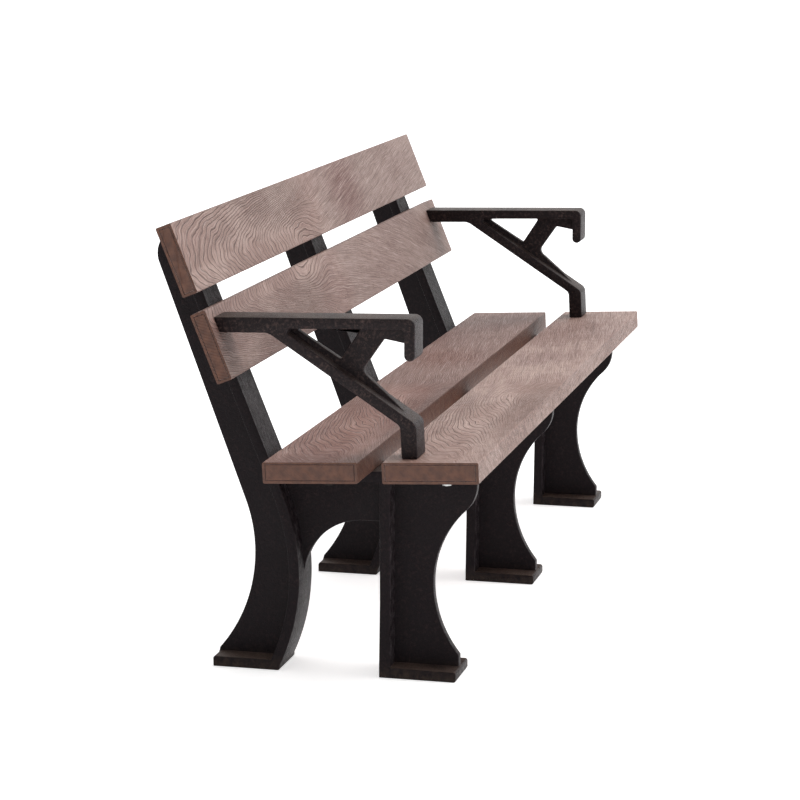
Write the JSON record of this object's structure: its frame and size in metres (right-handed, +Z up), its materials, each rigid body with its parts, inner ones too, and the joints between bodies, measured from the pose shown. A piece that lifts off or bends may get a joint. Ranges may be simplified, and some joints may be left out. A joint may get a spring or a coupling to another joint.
{
  "type": "park bench with back and armrests",
  "caption": "Park bench with moulded wood-grain boards on black T-section frames, a slatted back and an open braced armrest near each end",
  "frame": {"origin": "on the ground, under the middle of the whole bench", "axes": "+X along the boards, to the right for someone who stands in front and looks at the bench; +Y from the front of the seat to the back; +Z up"},
  "size_m": [1.8, 0.6526, 0.8598],
  "materials": {
    "moulded_board": "matte",
    "black_plastic": "matte",
    "zinc_steel": "satin"
  },
  "bodies": {
    "root": {"left_frame": "black_plastic", "middle_frame": "black_plastic", "right_frame": "black_plastic", "front_seat_board": "moulded_board", "rear_seat_board": "moulded_board", "lower_back_board": "moulded_board", "upper_back_board": "moulded_board", "left_armrest": "black_plastic", "right_armrest": "black_plastic", "front_seat_board_screws": "zinc_steel", "front_seat_board_washers": "zinc_steel", "rear_seat_board_screws": "zinc_steel", "rear_seat_board_washers": "zinc_steel", "lower_back_board_screws": "zinc_steel", "lower_back_board_washers": "zinc_steel", "upper_back_board_screws": "zinc_steel", "upper_back_board_washers": "zinc_steel", "left_armrest_foot_screws": "zinc_steel", "left_armrest_foot_washers": "zinc_steel", "left_armrest_rail_screws": "zinc_steel", "left_armrest_rail_washers": "zinc_steel", "right_armrest_foot_screws": "zinc_steel", "right_armrest_foot_washers": "zinc_steel", "right_armrest_rail_screws": "zinc_steel", "right_armrest_rail_washers": "zinc_steel"}
  },
  "joints": []
}
